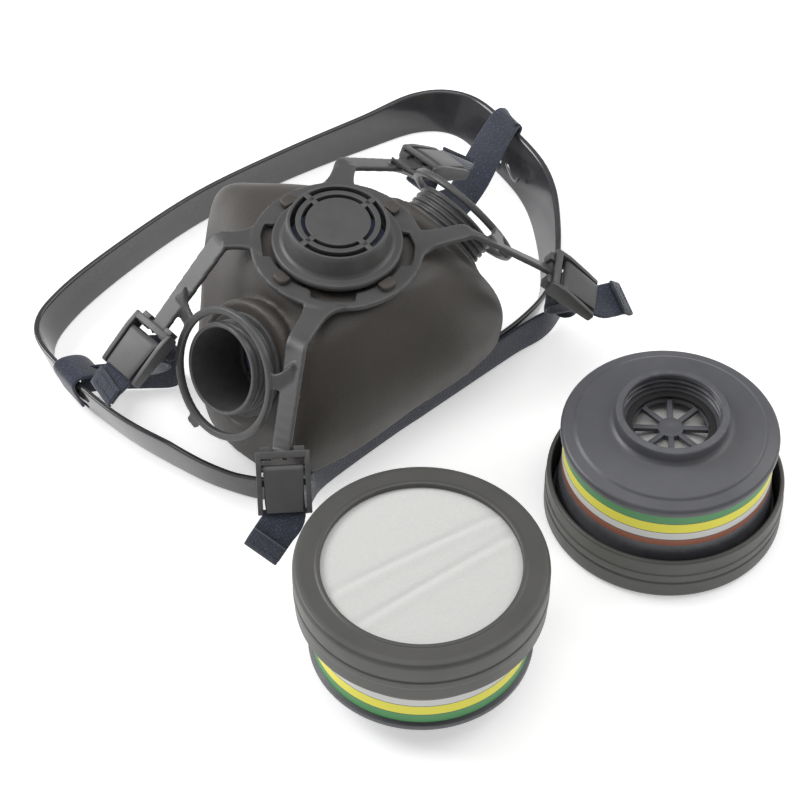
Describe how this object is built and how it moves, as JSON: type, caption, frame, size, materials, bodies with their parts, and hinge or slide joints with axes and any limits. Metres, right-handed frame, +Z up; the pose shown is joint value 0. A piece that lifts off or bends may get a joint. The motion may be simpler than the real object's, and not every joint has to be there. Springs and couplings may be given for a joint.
{
  "type": "half-mask respirator",
  "caption": "Reusable half-mask respirator lying face down: rubber facepiece, valve, harness yoke with strap buckles, head cradle, and detached twin filter cartridges.",
  "frame": {"origin": "centre of the whole object's footprint on the table it lies on", "axes": "+Z up, out of the exhalation valve; +Y towards the nose end of the facepiece; +X towards the wearer's left"},
  "size_m": [0.2722, 0.2996, 0.0956],
  "materials": {
    "facepiece_rubber": "fine grained matt rubber",
    "moulded_plastic": "satin moulded plastic",
    "valve_rubber": "smooth silicone",
    "cradle_plastic": "glossy flexible plastic",
    "strap_webbing": "woven elastic",
    "case_plastic": "satin moulded plastic",
    "retainer_plastic": "satin moulded plastic",
    "filter_label": "printed film with plain colour bands",
    "filter_pad": "soft fibre pad",
    "carbon": "granular",
    "gasket_rubber": "smooth rubber"
  },
  "bodies": {
    "root": {"facepiece": "facepiece_rubber", "right_inlet_port": "moulded_plastic", "left_inlet_port": "moulded_plastic", "exhalation_valve_body": "moulded_plastic", "yoke": "moulded_plastic", "right_upper_strap": "strap_webbing", "left_upper_strap": "strap_webbing", "neck_strap": "strap_webbing", "head_cradle": "cradle_plastic"},
    "right_inhalation_flap": {"right_inhalation_flap": "valve_rubber"},
    "left_inhalation_flap": {"left_inhalation_flap": "valve_rubber"},
    "exhalation_flap": {"exhalation_flap": "valve_rubber"},
    "exhalation_cover": {"exhalation_cover": "moulded_plastic"},
    "right_upper_buckle": {"right_upper_buckle": "moulded_plastic", "right_upper_strap_end": "strap_webbing"},
    "right_upper_lever": {"right_upper_lever": "moulded_plastic"},
    "right_lower_buckle": {"right_lower_buckle": "moulded_plastic", "right_lower_strap_end": "strap_webbing"},
    "right_lower_lever": {"right_lower_lever": "moulded_plastic"},
    "left_upper_buckle": {"left_upper_buckle": "moulded_plastic", "left_upper_strap_end": "strap_webbing"},
    "left_upper_lever": {"left_upper_lever": "moulded_plastic"},
    "left_lower_buckle": {"left_lower_buckle": "moulded_plastic", "left_lower_strap_end": "strap_webbing"},
    "left_lower_lever": {"left_lower_lever": "moulded_plastic"},
    "first_cartridge": {"first_case": "case_plastic", "first_gasket": "gasket_rubber", "first_inner_fleece": "filter_pad", "first_carbon_bed": "carbon", "first_screen": "case_plastic", "first_label": "filter_label"},
    "first_retainer": {"first_retainer": "retainer_plastic", "first_pad": "filter_pad"},
    "second_retainer": {"second_retainer": "retainer_plastic", "second_pad": "filter_pad"},
    "second_cartridge": {"second_case": "case_plastic", "second_gasket": "gasket_rubber", "second_inner_fleece": "filter_pad", "second_carbon_bed": "carbon", "second_screen": "case_plastic", "second_label": "filter_label"}
  },
  "joints": [
    {"name": "right_inhalation_lift", "type": "slide", "parent": "root", "child": "right_inhalation_flap", "axis": [0.9135, 0, -0.4067], "range_m": [0, 0.002], "stiffness_N_per_m": 20},
    {"name": "left_inhalation_lift", "type": "slide", "parent": "root", "child": "left_inhalation_flap", "axis": [-0.9135, 0, -0.4067], "range_m": [0, 0.002], "stiffness_N_per_m": 20},
    {"name": "exhalation_lift", "type": "slide", "parent": "root", "child": "exhalation_flap", "axis": [0, -0.0698, 0.9976], "range_m": [0, 0.0022], "stiffness_N_per_m": 20},
    {"name": "cover_pull", "type": "slide", "parent": "root", "child": "exhalation_cover", "axis": [0, -0.0698, 0.9976], "range_m": [0, 0.03]},
    {"name": "right_upper_buckle_swing", "type": "hinge", "parent": "root", "child": "right_upper_buckle", "pos_m": [-0.08757, 0.06112, 0.061], "axis": [0, 1, 0], "range_deg": [-20, 40]},
    {"name": "right_upper_lever_flip", "type": "hinge", "parent": "right_upper_buckle", "child": "right_upper_lever", "pos_m": [-0.0939, 0.06112, 0.06011], "axis": [0, 1, 0], "range_deg": [0, 60]},
    {"name": "right_lower_buckle_swing", "type": "hinge", "parent": "root", "child": "right_lower_buckle", "pos_m": [-0.08987, -0.01548, 0.0527], "axis": [-0.7784, 0.6278, 0], "range_deg": [-20, 40]},
    {"name": "right_lower_lever_flip", "type": "hinge", "parent": "right_lower_buckle", "child": "right_lower_lever", "pos_m": [-0.09371, -0.02024, 0.05085], "axis": [-0.7784, 0.6278, 0], "range_deg": [0, 60]},
    {"name": "left_upper_buckle_swing", "type": "hinge", "parent": "root", "child": "left_upper_buckle", "pos_m": [0.05143, 0.06112, 0.061], "axis": [0, -1, 0], "range_deg": [-20, 40]},
    {"name": "left_upper_lever_flip", "type": "hinge", "parent": "left_upper_buckle", "child": "left_upper_lever", "pos_m": [0.05776, 0.06112, 0.06011], "axis": [0, -1, 0], "range_deg": [0, 60]},
    {"name": "left_lower_buckle_swing", "type": "hinge", "parent": "root", "child": "left_lower_buckle", "pos_m": [0.05373, -0.01548, 0.0527], "axis": [-0.7784, -0.6278, 0], "range_deg": [-20, 40]},
    {"name": "left_lower_lever_flip", "type": "hinge", "parent": "left_lower_buckle", "child": "left_lower_lever", "pos_m": [0.05757, -0.02024, 0.05085], "axis": [-0.7784, -0.6278, 0], "range_deg": [0, 60]},
    {"name": "first_cartridge_lift", "type": "slide", "parent": "root", "child": "first_cartridge", "axis": [0, 0, 1], "range_m": [0, 0.12]},
    {"name": "first_retainer_pull", "type": "slide", "parent": "first_cartridge", "child": "first_retainer", "axis": [0, 0, 1], "range_m": [0, 0.04]},
    {"name": "second_retainer_lift", "type": "slide", "parent": "root", "child": "second_retainer", "axis": [0, 0, 1], "range_m": [0, 0.12]},
    {"name": "second_cartridge_pull", "type": "slide", "parent": "second_retainer", "child": "second_cartridge", "axis": [0, 0, 1], "range_m": [0, 0.04]}
  ]
}
